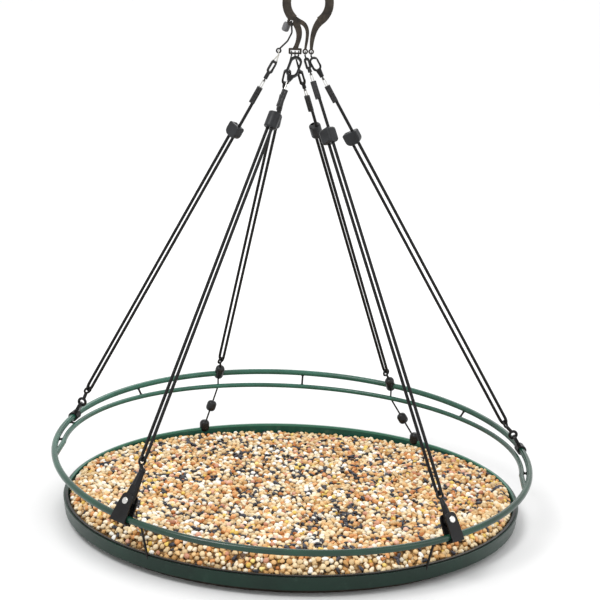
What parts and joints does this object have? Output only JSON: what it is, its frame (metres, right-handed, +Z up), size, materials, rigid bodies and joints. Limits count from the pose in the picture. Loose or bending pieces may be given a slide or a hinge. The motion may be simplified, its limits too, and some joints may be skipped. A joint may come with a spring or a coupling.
{
  "type": "hanging tray bird feeder",
  "caption": "Hanging round bird feeder: a shallow seed tray below a tilted hoop, carried by adjustable cord tethers with snap clasps from one forged hanging loop.",
  "frame": {"origin": "centre of the hanging loop at the top, where a pole hook goes through", "axes": "+Z up, front towards -Y, +Y along the loop's hole, +X to the right"},
  "size_m": [0.463, 0.4622, 0.511],
  "materials": {
    "forged_iron": "satin",
    "dark_wire": "satin",
    "grey_rubber": "matte",
    "black_cord": "woven",
    "slider_plastic": "satin",
    "black_hardware": "satin",
    "black_sleeve": "satin",
    "bright_steel": "polished",
    "green_rail": "semi-gloss powder coat",
    "green_band": "semi-gloss powder coat",
    "black_pan": "matte",
    "brown_foot": "matte",
    "seed_mix": "dry seed",
    "black_bead": "satin"
  },
  "bodies": {
    "hanger": {"hanger_bar": "forged_iron", "hook_wire": "dark_wire", "hook_knob": "grey_rubber"},
    "feeder": {"clip_rivets": "bright_steel", "drop_beads": "black_bead", "drop_wires": "dark_wire", "front_left_clasp": "black_hardware", "front_left_cord": "black_cord", "front_left_crimp": "black_sleeve", "front_left_hoop_clip": "black_hardware", "front_left_lower_link": "black_hardware", "front_right_clasp": "black_hardware", "front_right_cord": "black_cord", "front_right_crimp": "black_sleeve", "front_right_hoop_clip": "black_hardware", "front_right_lower_link": "black_hardware", "front_stays": "dark_wire", "left_clasp": "black_hardware", "left_cord": "black_cord", "left_crimp": "black_sleeve", "left_hoop_clip": "black_hardware", "left_lower_link": "black_hardware", "rail_struts": "dark_wire", "rear_left_clasp": "black_hardware", "rear_left_cord": "black_cord", "rear_left_crimp": "black_sleeve", "rear_left_hoop_clip": "black_hardware", "rear_left_lower_link": "black_hardware", "rear_rail": "green_rail", "rear_right_clasp": "black_hardware", "rear_right_cord": "black_cord", "rear_right_crimp": "black_sleeve", "rear_right_hoop_clip": "black_hardware", "rear_right_lower_link": "black_hardware", "right_clasp": "black_hardware", "right_cord": "black_cord", "right_crimp": "black_sleeve", "right_hoop_clip": "black_hardware", "right_lower_link": "black_hardware", "rim_clamps": "black_bead", "seed_bed": "seed_mix", "steel_links": "bright_steel", "tray_band": "green_band", "tray_foot": "brown_foot", "tray_pan": "black_pan", "upper_rail": "green_rail"},
    "left_adjuster": {"left_slider": "slider_plastic"},
    "left_gate_lever": {"left_gate": "black_hardware"},
    "front_left_adjuster": {"front_left_slider": "slider_plastic"},
    "front_left_gate_lever": {"front_left_gate": "black_hardware"},
    "rear_left_adjuster": {"rear_left_slider": "slider_plastic"},
    "rear_left_gate_lever": {"rear_left_gate": "black_hardware"},
    "front_right_adjuster": {"front_right_slider": "slider_plastic"},
    "front_right_gate_lever": {"front_right_gate": "black_hardware"},
    "right_adjuster": {"right_slider": "slider_plastic"},
    "right_gate_lever": {"right_gate": "black_hardware"},
    "rear_right_adjuster": {"rear_right_slider": "slider_plastic"},
    "rear_right_gate_lever": {"rear_right_gate": "black_hardware"}
  },
  "joints": [
    {"name": "feeder_swing", "type": "hinge", "parent": "hanger", "child": "feeder", "pos_m": [0, 0, -0.046], "axis": [1, 0, 0], "range_deg": [-25, 25]},
    {"name": "left_adjuster_slide", "type": "slide", "parent": "feeder", "child": "left_adjuster", "axis": [-0.4602, 0.1433, -0.8762], "range_m": [0, 0.12]},
    {"name": "left_gate_hinge", "type": "hinge", "parent": "feeder", "child": "left_gate_lever", "pos_m": [-0.03118, 0.00278, -0.06297], "axis": [0, -0.9869, -0.1615], "range_deg": [0, 12], "stiffness_Nm_per_rad": 0.01},
    {"name": "front_left_adjuster_slide", "type": "slide", "parent": "feeder", "child": "front_left_adjuster", "axis": [-0.309, -0.391, -0.867], "range_m": [0, 0.12]},
    {"name": "front_left_gate_hinge", "type": "hinge", "parent": "feeder", "child": "front_left_gate_lever", "pos_m": [-0.00822, -0.00836, -0.06454], "axis": [0, -0.9116, 0.4111], "range_deg": [0, 18], "stiffness_Nm_per_rad": 0.01},
    {"name": "rear_left_adjuster_slide", "type": "slide", "parent": "feeder", "child": "rear_left_adjuster", "axis": [-0.164, 0.4957, -0.8529], "range_m": [0, 0.12]},
    {"name": "rear_left_gate_hinge", "type": "hinge", "parent": "feeder", "child": "rear_left_gate_lever", "pos_m": [-0.01554, 0.01592, -0.07339], "axis": [0, -0.8646, -0.5025], "range_deg": [0, 18], "stiffness_Nm_per_rad": 0.01},
    {"name": "front_right_adjuster_slide", "type": "slide", "parent": "feeder", "child": "front_right_adjuster", "axis": [0.314, -0.3898, -0.8657], "range_m": [0, 0.12]},
    {"name": "front_right_gate_hinge", "type": "hinge", "parent": "feeder", "child": "front_right_gate_lever", "pos_m": [0.00364, -0.00455, -0.05609], "axis": [0, -0.9118, 0.4106], "range_deg": [0, 13], "stiffness_Nm_per_rad": 0.01},
    {"name": "right_adjuster_slide", "type": "slide", "parent": "feeder", "child": "right_adjuster", "axis": [0.5002, 0.0802, -0.8622], "range_m": [0, 0.12]},
    {"name": "right_gate_hinge", "type": "hinge", "parent": "feeder", "child": "right_gate_lever", "pos_m": [0.01333, 0.00098, -0.05652], "axis": [0, -0.9957, -0.0926], "range_deg": [0, 18], "stiffness_Nm_per_rad": 0.01},
    {"name": "rear_right_adjuster_slide", "type": "slide", "parent": "feeder", "child": "rear_right_adjuster", "axis": [0.263, 0.4648, -0.8455], "range_m": [0, 0.12]},
    {"name": "rear_right_gate_hinge", "type": "hinge", "parent": "feeder", "child": "rear_right_gate_lever", "pos_m": [-0.00078, 0.01448, -0.07234], "axis": [0, -0.8763, -0.4817], "range_deg": [0, 9], "stiffness_Nm_per_rad": 0.01}
  ]
}
